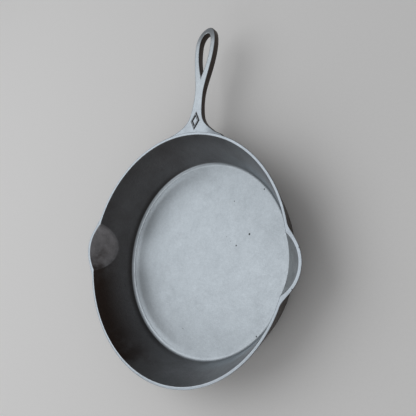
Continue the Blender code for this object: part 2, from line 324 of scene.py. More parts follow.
def smooth_max(one, other, blend):
    share = np.clip(0.5 + 0.5 * (one - other) / blend, 0, 1)
    return other + (one - other) * share + blend * share * (1 - share)


def between(low, high, share):
    return low + (high - low) * share


def shares_of(count, first=0):
    """Even shares from 0 to 1, count steps in all. A first of 1 leaves out the 0."""
    return [i / count for i in range(first, count + 1)]


def bend(start, corner, end, share):
    """A point on the curve that leaves start towards corner and reaches end from there."""
    rest = 1 - share
    return rest * rest * start + 2 * rest * share * corner + share * share * end


def polar(radius, angle, height):
    radius, angle, height = np.broadcast_arrays(radius, angle, height)
    return np.stack([radius * np.cos(angle), radius * np.sin(angle), height], axis=-1)


# The bowl's skin


def inner_line(height):
    top, bottom = RIM_RADIUS - RIM_WIDTH, FLOOR_LINE_RADIUS
    rise = (height - FLOOR_THICKNESS) / (TOTAL_HEIGHT - FLOOR_THICKNESS)
    return bottom + (top - bottom) * rise


def outer_line(height):
    return BASE_LINE_RADIUS + (RIM_RADIUS - BASE_LINE_RADIUS) * height / TOTAL_HEIGHT


def from_spout(angle):
    """The angle to the nearer spout's middle."""
    return (angle + QUARTER) % math.pi - QUARTER


def scoop_line(angle, height, radius):
    """How far out a spout's leaning round scoop reaches, or nothing where it isn't met."""
    lip_axis = SPOUT_REACH - SPOUT_LIP - SPOUT_RADIUS
    axis = lip_axis + SPOUT_LEAN * (height - LIP_HEIGHT)
    across = axis * np.sin(angle)
    chord = np.sqrt(np.clip(radius**2 - across**2, 0, None))
    return np.where(np.abs(across) < radius, axis * np.cos(angle) + chord, 0.0)


def inside_line(angle, height):
    scoop = scoop_line(from_spout(angle), height, SPOUT_RADIUS)
    return smooth_max(scoop, inner_line(height), INNER_BLEND)


def outside_line(angle, height):
    scoop = scoop_line(from_spout(angle), height, SPOUT_RADIUS + SPOUT_LIP)
    return smooth_max(scoop, outer_line(height), OUTER_BLEND)


def rim_height(angle):
    away = np.abs(from_spout(angle))
    dip = 1 - smooth_step((away - DIP_FROM) / (DIP_TO - DIP_FROM))
    return TOTAL_HEIGHT - (TOTAL_HEIGHT - LIP_HEIGHT) * dip


def corner_arc(corner_radius, height, line, fillet):
    """Points round the corner between a level line and the wall, without the first."""
    lean = math.atan2(line(TOTAL_HEIGHT) - corner_radius, TOTAL_HEIGHT - height)
    half_turn = (QUARTER - lean) / 2
    centre_radius = corner_radius - fillet * math.tan(half_turn)
    turns = 2 * half_turn * np.arange(1, ARC_STEPS + 1) / ARC_STEPS
    return [
        (centre_radius + fillet * math.sin(t), height + fillet * (1 - math.cos(t))) for t in turns
    ]


def column_angles(wing_angle):
    """The angle of each column of the skin, closer together at the spouts and the handle."""
    bends = (
        (SPOUT_SPAN, SPOUT_COLUMNS),
        (QUARTER - wing_angle, None),
        (QUARTER + wing_angle, 2 * ROOT_HALF_COLUMNS),
        (math.pi - SPOUT_SPAN, None),
        (math.pi + SPOUT_SPAN, SPOUT_COLUMNS),
        (2 * math.pi - SPOUT_SPAN, None),
    )
    angles, start = [], -SPOUT_SPAN
    for end, count in bends:
        count = count or round((end - start) / PLAIN_COLUMN)
        angles += [start + (end - start) * i / count for i in range(count)]
        start = end
    return np.array(angles)


class Bowl:
    """The bowl's skin, as columns round the axis and rungs from the floor's middle to the rim.

    Each rung joins a point of the inside to one of the outside. A brick is the iron between two
    rungs and two columns, and a piece of the bowl is a set of bricks.
    """

    def __init__(self, angles):
        self.angles = angles
        inside, outside = [], []
        for share in FLOOR_SHARES:
            inside.append(polar(FLOOR_RADIUS * share, angles, FLOOR_THICKNESS))
            outside.append(polar(FLOOR_RADIUS * share, angles, 0))
        self.floor_rung = len(inside) - 1
        arc_in = corner_arc(FLOOR_LINE_RADIUS, FLOOR_THICKNESS, inner_line, INNER_FILLET)
        arc_out = corner_arc(BASE_LINE_RADIUS, 0, outer_line, OUTER_FILLET)
        inside += [polar(radius, angles, height) for radius, height in arc_in]
        outside += [polar(radius, angles, height) for radius, height in arc_out]

        spout_low = TOTAL_HEIGHT - SPOUT_DEPTH
        band_low = TOTAL_HEIGHT - RIM_DEPTH
        edge = rim_height(angles) - RIM_EDGE
        sides = ((inside, arc_in, inside_line), (outside, arc_out, outside_line))
        for share in shares_of(LOW_WALL_STEPS, 1):
            for side, arc, line in sides:
                height = between(arc[-1][1], spout_low, share)
                side.append(polar(line(angles, height), angles, height))
        self.spout_rung = len(inside) - 1
        steps = [(spout_low, band_low, HIGH_WALL_STEPS), (band_low, edge, RIM_STEPS)]
        for low, high, count in steps:
            for share in shares_of(count, 1):
                height = between(low, high, share)
                for side, _, line in sides:
                    side.append(polar(line(angles, height), angles, height))
        self.rim_rung = self.spout_rung + HIGH_WALL_STEPS
        self.top_rung = len(inside) - 1
        self.inside, self.outside = np.array(inside), np.array(outside)
        self.cap = self.make_cap(edge)

    def make_cap(self, edge):
        """The rim's top, from the inside over both rounded edges to the outside."""
        angles, top = self.angles, rim_height(self.angles)
        inner_top, outer_top = inside_line(angles, top), outside_line(angles, top)
        corner_in, corner_out = polar(inner_top, angles, top), polar(outer_top, angles, top)
        flat_in = polar(inner_top + RIM_EDGE, angles, top)
        flat_out = polar(outer_top - RIM_EDGE, angles, top)
        start = polar(inside_line(angles, edge), angles, edge)
        end = polar(outside_line(angles, edge), angles, edge)
        shares = shares_of(ROUND_STEPS)
        rows = [bend(start, corner_in, flat_in, share) for share in shares]
        rows += [between(flat_in, flat_out, share) for share in shares_of(FLAT_STEPS, 1)[:-1]]
        rows += [bend(flat_out, corner_out, end, share) for share in shares]
        return np.array(rows)

    def add_bricks(self, skin, chosen):
        """Adds a piece to a skin. chosen says, for a rung and a column, if its brick is in it."""
        count, top = len(self.angles), self.top_rung
        inside, outside, cap = self.inside, self.outside, self.cap
        has = [[chosen(k, j) for j in range(count)] for k in range(top)]
        for k in range(top):
            for j in range(count):
                if not has[k][j]:
                    continue
                i = (j + 1) % count
                skin.face([inside[k, j], inside[k, i], inside[k + 1, i], inside[k + 1, j]])
                skin.face([outside[k, j], outside[k + 1, j], outside[k + 1, i], outside[k, i]])
                if k > 0 and not has[k - 1][j]:
                    self.close_rung(skin, k, j, i)
                if k + 1 < top and not has[k + 1][j]:
                    self.close_rung(skin, k + 1, j, i)
                if k + 1 == top:
                    for row, ahead in zip(cap, cap[1:]):
                        skin.face([row[j], row[i], ahead[i], ahead[j]])
                for side, neighbour in ((j, j - 1), (i, i)):
                    if has[k][neighbour]:
                        continue
                    low_in, low_out = inside[k, side], outside[k, side]
                    high_in, high_out = inside[k + 1, side], outside[k + 1, side]
                    skin.face([low_in, high_in, high_out, low_out], hidden=True)
                    if k + 1 == top:
                        skin.face([row[side] for row in cap], hidden=True)

    def close_rung(self, skin, k, j, i):
        """Closes a piece off inside the casting, where its bricks end at a rung."""
        inside, outside = self.inside[k], self.outside[k]
        skin.face([inside[j], inside[i], outside[i], outside[j]], hidden=True)


class Skin:
    """Faces gathered for one closed piece. Hidden faces close it off inside the casting."""

    def __init__(self):
        self.points, self.faces, self.hidden = [], [], []

    def face(self, corners, hidden=False):
        start = len(self.points)
        self.points += [tuple(map(float, corner)) for corner in corners]
        self.faces.append(range(start, start + len(corners)))
        self.hidden.append(hidden)

    def grid(self, rows, hidden=False):
        """Adds the faces between rows that hold the same number of points."""
        for row, ahead in zip(rows, rows[1:]):
            for j in range(len(row) - 1):
                self.face([row[j], row[j + 1], ahead[j + 1], ahead[j]], hidden)

    def add(self, other):
        start = len(self.points)
        self.points += other.points
        self.faces += [range(f.start + start, f.stop + start) for f in other.faces]
        self.hidden += other.hidden

    def merged(self, keep_hidden=True):
        """A bmesh with equal points made one, whose hidden faces are the flat shaded ones."""
        shape = bmesh.new()
        verts = [shape.verts.new(point) for point in self.points]
        for face, hidden in zip(self.faces, self.hidden):
            if keep_hidden or not hidden:
                shape.faces.new([verts[i] for i in face]).smooth = not hidden
        loose = [vertex for vertex in shape.verts if not vertex.link_faces]
        bmesh.ops.delete(shape, geom=loose, context="VERTS")
        bmesh.ops.remove_doubles(shape, verts=shape.verts, dist=MERGE)
        bmesh.ops.dissolve_degenerate(shape, edges=shape.edges, dist=MERGE)
        bmesh.ops.recalc_face_normals(shape, faces=shape.faces)
        return shape


class Shading:
    """Smooth normals of a whole skin, to be looked up by place."""

    def __init__(self, whole_skin):
        shape = whole_skin.merged(keep_hidden=False)
        shape.normal_update()
        found = []
        for vertex in shape.verts:
            total = Vector()
            for loop in vertex.link_loops:
                total += loop.face.normal * loop.calc_angle()
            found.append((vertex.co.copy(), total.normalized()))
        shape.free()
        self.normals = [normal for _, normal in found]
        self.tree = KDTree(len(found))
        for index, (place, _) in enumerate(found):
            self.tree.insert(place, index)
        self.tree.balance()

    def set(self, exact):
        for place, normal in exact:
            self.normals[self.tree.find(place)[1]] = Vector(normal).normalized()

    def at(self, place):
        return self.normals[self.tree.find(place)[1]]


# The handle's skin


def handle_half_width(place):
    return through_stations(HALF_WIDTHS, place)


def handle_thickness(place):
    return through_stations(THICKNESSES, place)


def handle_top(side, place):
    """The height of the handle's upper face. Its wings climb to the rim, and its nose falls."""
    share = np.clip((place - RIM_RADIUS) / (HANDLE_END - RIM_RADIUS), 0, 1)
    drop = between(HANDLE_DROP, HANDLE_END_DROP, share)
    rise = WING_RISE * smooth_step((np.abs(side) - WING_START) / WING_REACH)
    nose = NOSE_DROP * (max(place - NOSE_START, 0) / (HANDLE_END - NOSE_START)) ** 2
    return TOTAL_HEIGHT - drop + rise - nose


def edge_profile(thickness, rounding):
    """(inset, level) pairs round an edge, from the upper face to the lower one."""
    steps = [share * QUARTER for share in shares_of(ROUND_STEPS)]
    upper = [(rounding * (1 - math.sin(t)), -rounding * (1 - math.cos(t))) for t in steps]
    middle = -thickness / 2
    seam = min(SEAM_HALF, (thickness / 2 - rounding) / 2)
    side = [(0, middle + seam), (-SEAM_PROUD, middle), (0, middle - seam)]
    lower = [(inset, -thickness - level) for inset, level in reversed(upper)]
    return upper + side + lower


def wing_outline():
    """Points along the flare's +X edge, from the shank to where it meets the wall."""
    points = []
    for place in np.linspace(SHANK_START, HALF_WIDTHS[0][0], WING_SAMPLES):
        point = np.array([handle_half_width(place), place])
        height = handle_top(point[0], place)
        if np.hypot(*point) < outer_line(height) + WING_GAP:
            break
        points.append(point)
    points = np.array(points)
    runs = np.concatenate([[0], np.cumsum(np.hypot(*np.diff(points, axis=0).T))])
    count = ROOT_HALF_COLUMNS - SHANK_HALF_COLUMNS
    at = np.linspace(0, runs[-1], count + 1)
    return np.stack([np.interp(at, runs, points[:, 0]), np.interp(at, runs, points[:, 1])], axis=1)


def wall_point(angle, height):
    return polar(outer_line(height), angle, height)


def wall_normal(angle):
    lean = math.atan2(RIM_RADIUS - BASE_LINE_RADIUS, TOTAL_HEIGHT)
    return polar(math.cos(lean), angle, -math.sin(lean))


def wing_weight(left):
    """The share of its own shape that a column keeps, so many columns from a wing's tip."""
    return float(smooth_step(left / WING_BLEND_COLUMNS))


class Root:
    """The handle's root: a flange with two wings, and the gusset under it, against the wall."""

    def __init__(self):
        self.outline = wing_outline()
        self.wing_angle = math.atan2(*self.outline[-1])
        right = [self.column(i) for i in range(ROOT_HALF_COLUMNS, -1, -1)]
        left = [[run * MIRROR for run in column] for column in reversed(right[:-1])]
        self.columns = right + left

    def edge_point(self, i):
        """The outline's point and inward direction for a column, counted from the middle."""
        half = self.outline[0][0] - TOP_ROUNDING
        if i < SHANK_HALF_COLUMNS:
            return np.array([half * i / SHANK_HALF_COLUMNS, SHANK_START]), None
        index = i - SHANK_HALF_COLUMNS
        point = self.outline[index]
        if index == 0:
            return point, np.array([-1.0, 0.0])
        ahead = self.outline[min(index + 1, len(self.outline) - 1)]
        along = ahead - self.outline[index - 1]
        inward = np.array([-along[1], along[0]]) / np.hypot(*along)
        return point, inward if inward[0] < 0 else -inward

    def column(self, i):
        """The three runs of points of a +X column: upper face, edge and underside."""
        angle = QUARTER - self.wing_angle * i / ROOT_HALF_COLUMNS
        point, inward = self.edge_point(i)
        corner = wall_point(angle, TOTAL_HEIGHT)
        for _ in range(CORNER_PASSES):
            corner = wall_point(angle, handle_top(corner[0], corner[1]))
        reach = point - corner[:2]
        length = np.hypot(*reach)
        outward = reach / max(length, MERGE)
        thickness = handle_thickness(point[1])
        room = length * WIDTH_SHARE
        rounding = min(TOP_ROUNDING, thickness * THICKNESS_SHARE, room)
        fillet = min(ROOT_FILLET, room, TOTAL_HEIGHT - RIM_EDGE - corner[2])
        flat_end = point if inward is None else point + inward * rounding

        start = wall_point(angle, corner[2] + fillet)
        landing = np.array([*(corner[:2] + outward * fillet), 0])
        landing[2] = handle_top(landing[0], landing[1])
        upper = [bend(start, corner, landing, share) for share in shares_of(FILLET_STEPS)]
        for share in shares_of(TOP_STEPS, 1):
            across = between(landing[:2], flat_end, share)
            upper.append(np.array([*across, handle_top(*across)]))

        edge = []
        level = handle_top(*flat_end)
        if inward is not None:
            for inset, down in edge_profile(thickness, rounding):
                edge.append(np.array([*(point + inward * inset), level + down]))
            lower_start = edge[-1]
        else:
            lower_start = np.array([*flat_end, level - thickness])

        share = smooth_step(abs(corner[0]) / GUSSET_REACH)
        depth = between(GUSSET_DEPTH, GUSSET_TIP_DEPTH, share)
        foot = wall_point(angle, TOTAL_HEIGHT - depth)
        lower = self.gusset(lower_start, foot, angle)
        runs = [np.array(run).reshape(-1, 3) for run in (upper, edge, lower)]
        return self.settle(i, angle, runs)

    def gusset(self, start, foot, angle):
        """The underside's hollow curve from the flange's lower face down to the wall."""
        first = start + (foot - start) * np.array([GUSSET_PULL, GUSSET_PULL, 0])
        second = wall_point(angle, between(foot[2], start[2], GUSSET_RISE))
        points = []
        for share in shares_of(UNDER_STEPS):
            rest = 1 - share
            points.append(
                rest**3 * start
                + 3 * rest**2 * share * first
                + 3 * rest * share**2 * second
                + share**3 * foot
            )
        return points

    def settle(self, i, angle, runs):
        """Brings a column near a wing's end smoothly down on to the wall."""
        weight = wing_weight(ROOT_HALF_COLUMNS - i)
        if weight == 1:
            return runs
        high, low = runs[0][0][2], runs[2][-1][2]
        total = sum(len(run) for run in runs) - 1
        done, settled = 0, []
        for run in runs:
            shares = (done + np.arange(len(run))) / total
            flat = wall_point(angle, between(high, low, shares))
            settled.append(between(flat, run, weight))
            done += len(run)
        for one, other in ((0, 1), (1, 2)):
            settled[other][0] = settled[one][-1]
        return settled

    def add(self, skin):
        upper, edges, lower = zip(*self.columns)
        skin.grid(upper)
        skin.grid(lower)
        skin.grid(edges[: SHANK_COLUMNS[0] + 1])
        skin.grid(edges[SHANK_COLUMNS[-1] :])
        skin.face(self.end_ring(), hidden=True)
        back = [[high[0], low[-1]] for high, low in zip(upper, lower)]
        skin.grid(back[1:-1], hidden=True)
        for end, beside in ((self.columns[0], back[1]), (self.columns[-1], back[-2])):
            skin.face([beside[0], *end[0], *end[1][1:], *end[2][1:], beside[1]], hidden=True)

    def end_ring(self):
        """The ring of points where the shank takes over."""
        shank = [self.columns[j] for j in SHANK_COLUMNS]
        upper = [column[0][-1] for column in shank]
        lower = [column[2][0] for column in reversed(shank[:-1])]
        return [*upper, *shank[-1][1][1:], *lower, *reversed(shank[0][1][1:-1])]

    def exact_normals(self, shading):
        """The normals where the root runs out on the wall, and of the blended wing ends."""
        exact = []
        for j, column in enumerate(self.columns):
            across, along, _ = column[0][0]
            plain = wall_normal(math.atan2(along, across))
            exact += [(column[0][0], plain), (column[2][-1], plain)]
            weight = wing_weight(min(j, 2 * ROOT_HALF_COLUMNS - j))
            if weight < 1:
                for point in (*column[0][1:], *column[1], *column[2][:-1]):
                    exact.append((point, between(plain, np.array(shading.at(point)), weight)))
        return exact


def shank_ring(shares, half, place):
    """A ring round the handle. shares say where the points of its upper face lie."""
    thickness = handle_thickness(place)
    top = handle_top(0, place)
    flat = half - TOP_ROUNDING
    upper = [np.array([flat * share, place, top]) for share in shares]
    edge = [
        np.array([half - inset, place, top + down])
        for inset, down in edge_profile(thickness, TOP_ROUNDING)
    ]
    lower = [np.array([flat * share, place, top - thickness]) for share in reversed(shares)]
    return whole_ring([*upper, *edge[1:], *lower[1:]])


def whole_ring(half_ring):
    """A ring round the handle from its +X half, which starts and ends on the middle plane."""
    return [*half_ring, *(point * MIRROR for point in reversed(half_ring[1:-1]))]


def eye_half_width(place):
    """Half the eye's opening, which goes on below zero ahead of its tip as a closing groove."""
    if place < EYE_TIP:
        return -TOP_ROUNDING * (EYE_TIP - place) / (EYE_TIP - EYE_START)
    return through_stations(EYE_HALF_WIDTHS, place)


def eye_shares():
    """Where the upper face's points lie at the eye's start, as shares of its half width."""
    flat = handle_half_width(EYE_START) - TOP_ROUNDING
    near = TOP_ROUNDING * GROOVE_SHARE / flat
    steps = [1 - math.sin(share * QUARTER) for share in shares_of(ROUND_STEPS)]
    inner = [near * step for step in reversed(steps)]
    return inner + [between(near, 1, share) for share in shares_of(FLAT_ROWS, 1)]


def add_shank(skin):
    even, uneven = shares_of(SHANK_HALF_COLUMNS), eye_shares()
    rings = []
    for share in shares_of(SHANK_STEPS):
        place = between(SHANK_START, EYE_START, share)
        shares = [between(a, b, float(smooth_step(share))) for a, b in zip(even, uneven)]
        ring = shank_ring(shares, handle_half_width(place), place)
        rings.append([*ring, ring[0]])
    skin.grid(rings)
    for ring in (rings[0], rings[-1]):
        skin.face(ring[:-1], hidden=True)


def eye_stations():
    """(outer point, inward direction, inner point, its direction into the iron) along half."""
    stations = []
    straight = np.linspace(EYE_START, HANDLE_WIDEST, EYE_STEPS + 1).tolist()
    tip = min(range(len(straight)), key=lambda i: abs(straight[i] - EYE_TIP))
    straight[tip] = EYE_TIP
    for place in straight:
        half, hole = handle_half_width(place), eye_half_width(place)
        slope = (handle_half_width(place + SLOPE_STEP) - half) / SLOPE_STEP
        inward = np.array([-1, slope]) / math.hypot(1, slope)
        if place == EYE_START:
            inward = np.array([-1.0, 0.0])
        hole_slope = (eye_half_width(place + SLOPE_STEP) - hole) / SLOPE_STEP
        settled = float(smooth_step((place - EYE_TIP) / EYE_TIP_BLEND))
        into = np.array([1, -hole_slope * settled])
        into /= np.hypot(*into)
        stations.append((np.array([half, place]), inward, np.array([hole, place]), into))
    reach, hole_reach = HANDLE_END - HANDLE_WIDEST, EYE_END - EYE_WIDEST
    hole_half = EYE_HALF_WIDTHS[-1][1]
    for share in shares_of(LOOP_STEPS, 1):
        turn = share * QUARTER
        cos, sin = math.cos(turn), math.sin(turn)
        outer = np.array([HANDLE_HALF * cos, HANDLE_WIDEST + reach * sin])
        inward = -np.array([cos / HANDLE_HALF, sin / reach])
        inner = np.array([hole_half * cos, EYE_WIDEST + hole_reach * sin])
        into = np.array([cos / hole_half, sin / hole_reach])
        stations.append((outer, inward / np.hypot(*inward), inner, into / np.hypot(*into)))
    return stations, tip


def eye_rows(station):
    """The points over one cut through a strut: outer edge, upper, inner edge and lower runs."""
    outer, inward, inner, into = station
    place = outer[1]
    thickness = handle_thickness(place)
    rounding = TOP_ROUNDING
    profile = edge_profile(thickness, rounding)

    def lift(point, down=0.0):
        return np.array([*point, handle_top(0, point[1]) + down])

    edge = [lift(outer + inward * inset, down) for inset, down in profile]
    flat_end = outer + inward * rounding
    ahead = inner[0] < 0
    near = max(inner[0] + rounding, rounding * GROOVE_SHARE)
    flat_start = np.array([near, place]) if ahead else inner + into * rounding
    upper, lower = [], []
    for share in shares_of(FLAT_ROWS)[:-1]:
        point = between(flat_end, flat_start, share)
        upper.append(lift(point))
        lower.append(lift(point, -thickness))
    for share in shares_of(ROUND_STEPS):
        rest = 1 - math.sin(share * QUARTER)
        if ahead:
            point = np.array([near * rest, place])
            inset = min(point[0] - inner[0], rounding)
        else:
            point = inner + into * rounding * rest
            inset = rounding * rest
        down = rounding - math.sqrt(max(rounding**2 - (rounding - inset) ** 2, 0))
        upper.append(lift(point, -down))
        lower.append(lift(point, down - thickness))
    side = [lift(inner, down) for _, down in profile[ROUND_STEPS : -ROUND_STEPS]]
    return edge, upper, side, lower


def add_eye(skin):
    stations, tip = eye_stations()
    halves = [eye_rows(station) for station in stations]
    for flip in (np.ones(3), MIRROR):
        for run in range(4):
            rows = [[point * flip for point in half[run]] for half in halves]
            skin.grid(rows[tip:] if run == 2 else rows)
    edge, upper, _, lower = halves[0]
    skin.face(whole_ring([*reversed(upper), *edge[1:-1], *lower]), hidden=True)


# Closed pieces


def add_object(name, data):
    made = bpy.data.objects.new(name, data)
    bpy.context.scene.collection.objects.link(made)
    return made


def make_piece(name, skin, shading, material, node):
    """A closed mesh object that is shaded by the whole skin and stands for a CAD node."""
    shape = skin.merged()
    mesh = bpy.data.meshes.new(name)
    shape.to_mesh(mesh)
    shape.free()
    normals = []
    for polygon in mesh.polygons:
        for index in polygon.vertices:
            if polygon.use_smooth:
                normals.append(shading.at(mesh.vertices[index].co))
            else:
                normals.append(polygon.normal)
    mesh.normals_split_custom_set(normals)
    mesh.materials.append(material)
    piece = add_object(name, mesh)
    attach(piece, "root")
    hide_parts(node)


# Bare iron


class Tree:
    """Short calls that add nodes to a material. A value is a number, a tuple or a socket."""

    def __init__(self, material):
        material.use_nodes = True
        self.nodes = material.node_tree.nodes
        self.links = material.node_tree.links
        self.shader = self.nodes["Principled BSDF"].inputs

    def give(self, socket, value):
        if isinstance(value, bpy.types.NodeSocket):
            self.links.new(value, socket)
        elif socket.type == "RGBA":
            socket.default_value = (*value[:3], 1)
        else:
            socket.default_value = value

    def add(self, kind, inputs, output=0, **settings):
        node = self.nodes.new(kind)
        for name, value in settings.items():
            setattr(node, name, value)
        for key, value in inputs.items():
            self.give(node.inputs[key], value)
        return node.outputs[output]

    def math(self, operation, one, other=0.0):
        return self.add("ShaderNodeMath", {0: one, 1: other}, operation=operation)

    def times(self, one, other):
        return self.math("MULTIPLY", one, other)

    def vector(self, operation, one, other=(0, 0, 0), output="Vector"):
        return self.add("ShaderNodeVectorMath", {0: one, 1: other}, output, operation=operation)

    def dot(self, one, other):
        return self.vector("DOT_PRODUCT", one, other, "Value")

    def scaled(self, colour, factor):
        return self.add("ShaderNodeVectorMath", {0: colour, "Scale": factor}, operation="SCALE")

    def ramp(self, value, start, end, low=0.0, high=1.0):
        """low at start and high at end, with a smooth change from one to the other."""
        if start > end:
            start, end, low, high = end, start, high, low
        inputs = {0: value, 1: start, 2: end, 3: low, 4: high}
        return self.add("ShaderNodeMapRange", inputs, interpolation_type="SMOOTHSTEP")

    def mix(self, share, one, other):
        """A colour from one to the other. Sockets 6, 7 and 2 are a Mix node's colour ones."""
        inputs = {0: share, 6: one, 7: other}
        return self.add("ShaderNodeMix", inputs, output=2, data_type="RGBA")

    def noise(self, place, scale, detail, roughness=0.5):
        inputs = {"Vector": place, "Scale": scale, "Detail": detail, "Roughness": roughness}
        return self.add("ShaderNodeTexNoise", inputs)

    def varied(self, place, scale, amount, detail):
        """A factor round 1 that noise makes vary by about amount either way."""
        low, high = NOISE_SPAN
        noise = self.noise(place, scale, detail)
        inputs = {0: noise, 1: low, 2: high, 3: 1 - amount, 4: 1 + amount}
        return self.add("ShaderNodeMapRange", inputs)


class Regions:
    """Masks, from 0 to 1, for the parts of the casting, by place and by the way a face looks."""

    def __init__(self, tree):
        self.tree = tree
        self.place = tree.add("ShaderNodeTexCoord", {}, "Object")
        self.flat = tree.vector("MULTIPLY", self.place, (1, 1, 0))
        self.radius = tree.vector("LENGTH", self.flat, output="Value")
        self.across, self.along, self.height = (
            tree.add("ShaderNodeSeparateXYZ", {0: self.place}, axis) for axis in "XYZ"
        )
        radial = tree.vector("NORMALIZE", self.flat)
        looks = tree.add("ShaderNodeNewGeometry", {}, "Normal")
        upward = tree.ramp(tree.add("ShaderNodeSeparateXYZ", {0: looks}, "Z"), *UPWARD_SPAN)
        inward = tree.ramp(tree.dot(looks, radial), *INWARD_SPAN)

        above_base = tree.ramp(self.height, *BASE_SPAN)
        near_axis = tree.ramp(self.radius, FLOOR_LINE_RADIUS + FLOOR_FADE, FLOOR_LINE_RADIUS)
        self.floor = tree.times(above_base, near_axis)
        facing_in = tree.times(inward, self.beyond(self.radius, RIM_RADIUS, INSIDE_SPAN))
        self.inner_wall = tree.times(facing_in, tree.math("SUBTRACT", 1.0, self.floor))
        line = RIM_RADIUS - RIM_WIDTH
        outside = tree.ramp(self.radius, line - RIM_FADE, line)
        high = tree.ramp(self.height, *TOP_SPAN)
        self.ground_top = tree.times(tree.times(upward, outside), high)
        self.scoop = self.on_scoop()
        # The left side, where the floor gets a painted highlight and painted shade at its edge and
        # the wall painted shade at its foot
        self.left_side = self.side(LEFT_SIDE_ANGLE, *SIDE_SPAN)

        # Painted shade: a darker patch on one side of the wall, near the rim
        beside = tree.dot(radial, towards(SHADE_PATCH_ANGLE))
        beside = tree.math("ADD", beside, tree.varied(self.place, *SHADE_PATCH_GRAIN))
        near_rim = tree.ramp(self.height, *SHADE_PATCH_RISE)
        self.shade_patch = tree.times(tree.ramp(beside, *SHADE_PATCH_SPAN), near_rim)

    def side(self, angle, start, end):
        """0 to 1 across the pan, towards an angle."""
        return self.tree.ramp(self.tree.dot(self.place, towards(angle)), start, end)

    def beyond(self, distance, radius, span):
        """0 to 1 over a span of distances measured from a radius."""
        return self.tree.ramp(distance, radius + span[0], radius + span[1])

    def on_scoop(self):
        """1 on the round inner face of a spout, by the distance from its leaning axis."""
        tree = self.tree
        lean = tree.times(tree.math("SUBTRACT", self.height, LIP_HEIGHT), SPOUT_LEAN)
        axis = tree.math("ADD", lean, SPOUT_REACH - SPOUT_LIP - SPOUT_RADIUS)
        ahead = tree.math("SUBTRACT", tree.math("ABSOLUTE", self.across), axis)
        square = tree.math("ADD", tree.times(ahead, ahead), tree.times(self.along, self.along))
        distance = tree.math("SQRT", square)
        reached = self.beyond(distance, SPOUT_RADIUS, SCOOP_SPAN)
        return tree.math("SUBTRACT", reached, self.beyond(distance, SPOUT_RADIUS, SCOOP_END_SPAN))


def towards(angle):
    """The level unit vector at an angle in degrees."""
    turn = math.radians(angle)
    return (math.cos(turn), math.sin(turn), 0)


def inner_wall_colour(tree, region):
    """Dull iron with random darker mottling and two ground scoops, and painted light and shade:
    lighter to one side and at its foot there, darker in its foot's corner on the other side,
    towards the rim and in a patch on one side.
    """
    # Painted light: lighter towards one side, and at the foot there
    lit_side = region.side(LIT_SIDE_ANGLE, *LIT_SIDE_SPAN)
    foot = tree.ramp(region.height, *LIT_FOOT_SPAN)
    foot = tree.times(foot, region.side(LIT_SIDE_ANGLE, *SIDE_SPAN))
    # Painted shade in the foot's corner on the left side
    corner = tree.times(tree.ramp(region.height, *CORNER_SHADE_SPAN), region.left_side)
    wall = tree.mix(lit_side, WALL_COLOUR, LIT_WALL_COLOUR)
    wall = tree.mix(foot, wall, LIT_FOOT_COLOUR)
    wall = tree.mix(corner, wall, CORNER_SHADE_COLOUR)
    wall = tree.scaled(wall, tree.ramp(region.height, *RIM_SHADE_SPAN, 1.0, RIM_SHADE))
    clouds = tree.noise(region.place, *CLOUD_GRAIN)
    clouds = tree.ramp(clouds, *CLOUD_SPAN, 0.0, CLOUD_SHARE)
    # Random darker mottling, and the painted shade patch
    wall = tree.mix(tree.math("MAXIMUM", clouds, region.shade_patch), wall, MOTTLE_AND_SHADE_COLOUR)
    # Painted light: the scoops are lighter towards one side
    scoop = tree.mix(lit_side, SCOOP_COLOUR, LIT_SCOOP_COLOUR)
    scoop = tree.scaled(scoop, tree.varied(region.place, *SCOOP_GRAIN))
    # The scoops give way to the painted shade patch
    clear = tree.ramp(region.shade_patch, *SCOOP_SHADE_PATCH_SPAN, 1.0, SCOOP_IN_SHADE_PATCH)
    return tree.mix(tree.times(region.scoop, clear), wall, scoop)


def ground_colour(tree, region):
    """The brighter iron of the ground faces: the rim, the handle's top and the floor, with painted
    light and shade: lighter on one side of the rim, along the handle and towards the floor's edge
    on the left, and darker at the handle's end, on one side of the floor and on the floor's crest
    on the left.
    """
    # Painted highlight: the rim is lighter on one side
    side = region.side(RIM_ANGLE, -RIM_RADIUS, RIM_RADIUS)
    top = tree.mix(side, RIM_HIGHLIGHT_COLOUR, RIM_COLOUR)
    # Painted highlight along the handle's top
    top = tree.mix(tree.ramp(region.along, *HANDLE_HIGHLIGHT_SPAN), top, HANDLE_HIGHLIGHT_COLOUR)
    # Painted shade at the handle's end
    top = tree.mix(tree.ramp(region.along, *END_SHADE_SPAN), top, END_SHADE_COLOUR)
    # Painted shade: the floor is darker towards one side
    floor = tree.mix(region.side(FLOOR_SHADE_ANGLE, *FLOOR_SHADE_SPAN), FLOOR_COLOUR, SHADED_FLOOR_COLOUR)
    # Painted highlight towards the floor's edge and painted shade on its crest, on the left side
    band = tree.ramp(region.radius, *BAND_SPAN, 1.0, BAND_LIGHT)
    band = tree.times(band, tree.ramp(region.radius, *CREST_SPAN, 1.0, CREST_SHADE))
    floor = tree.mix(region.left_side, floor, tree.scaled(floor, band))
    return tree.mix(region.floor, top, floor)


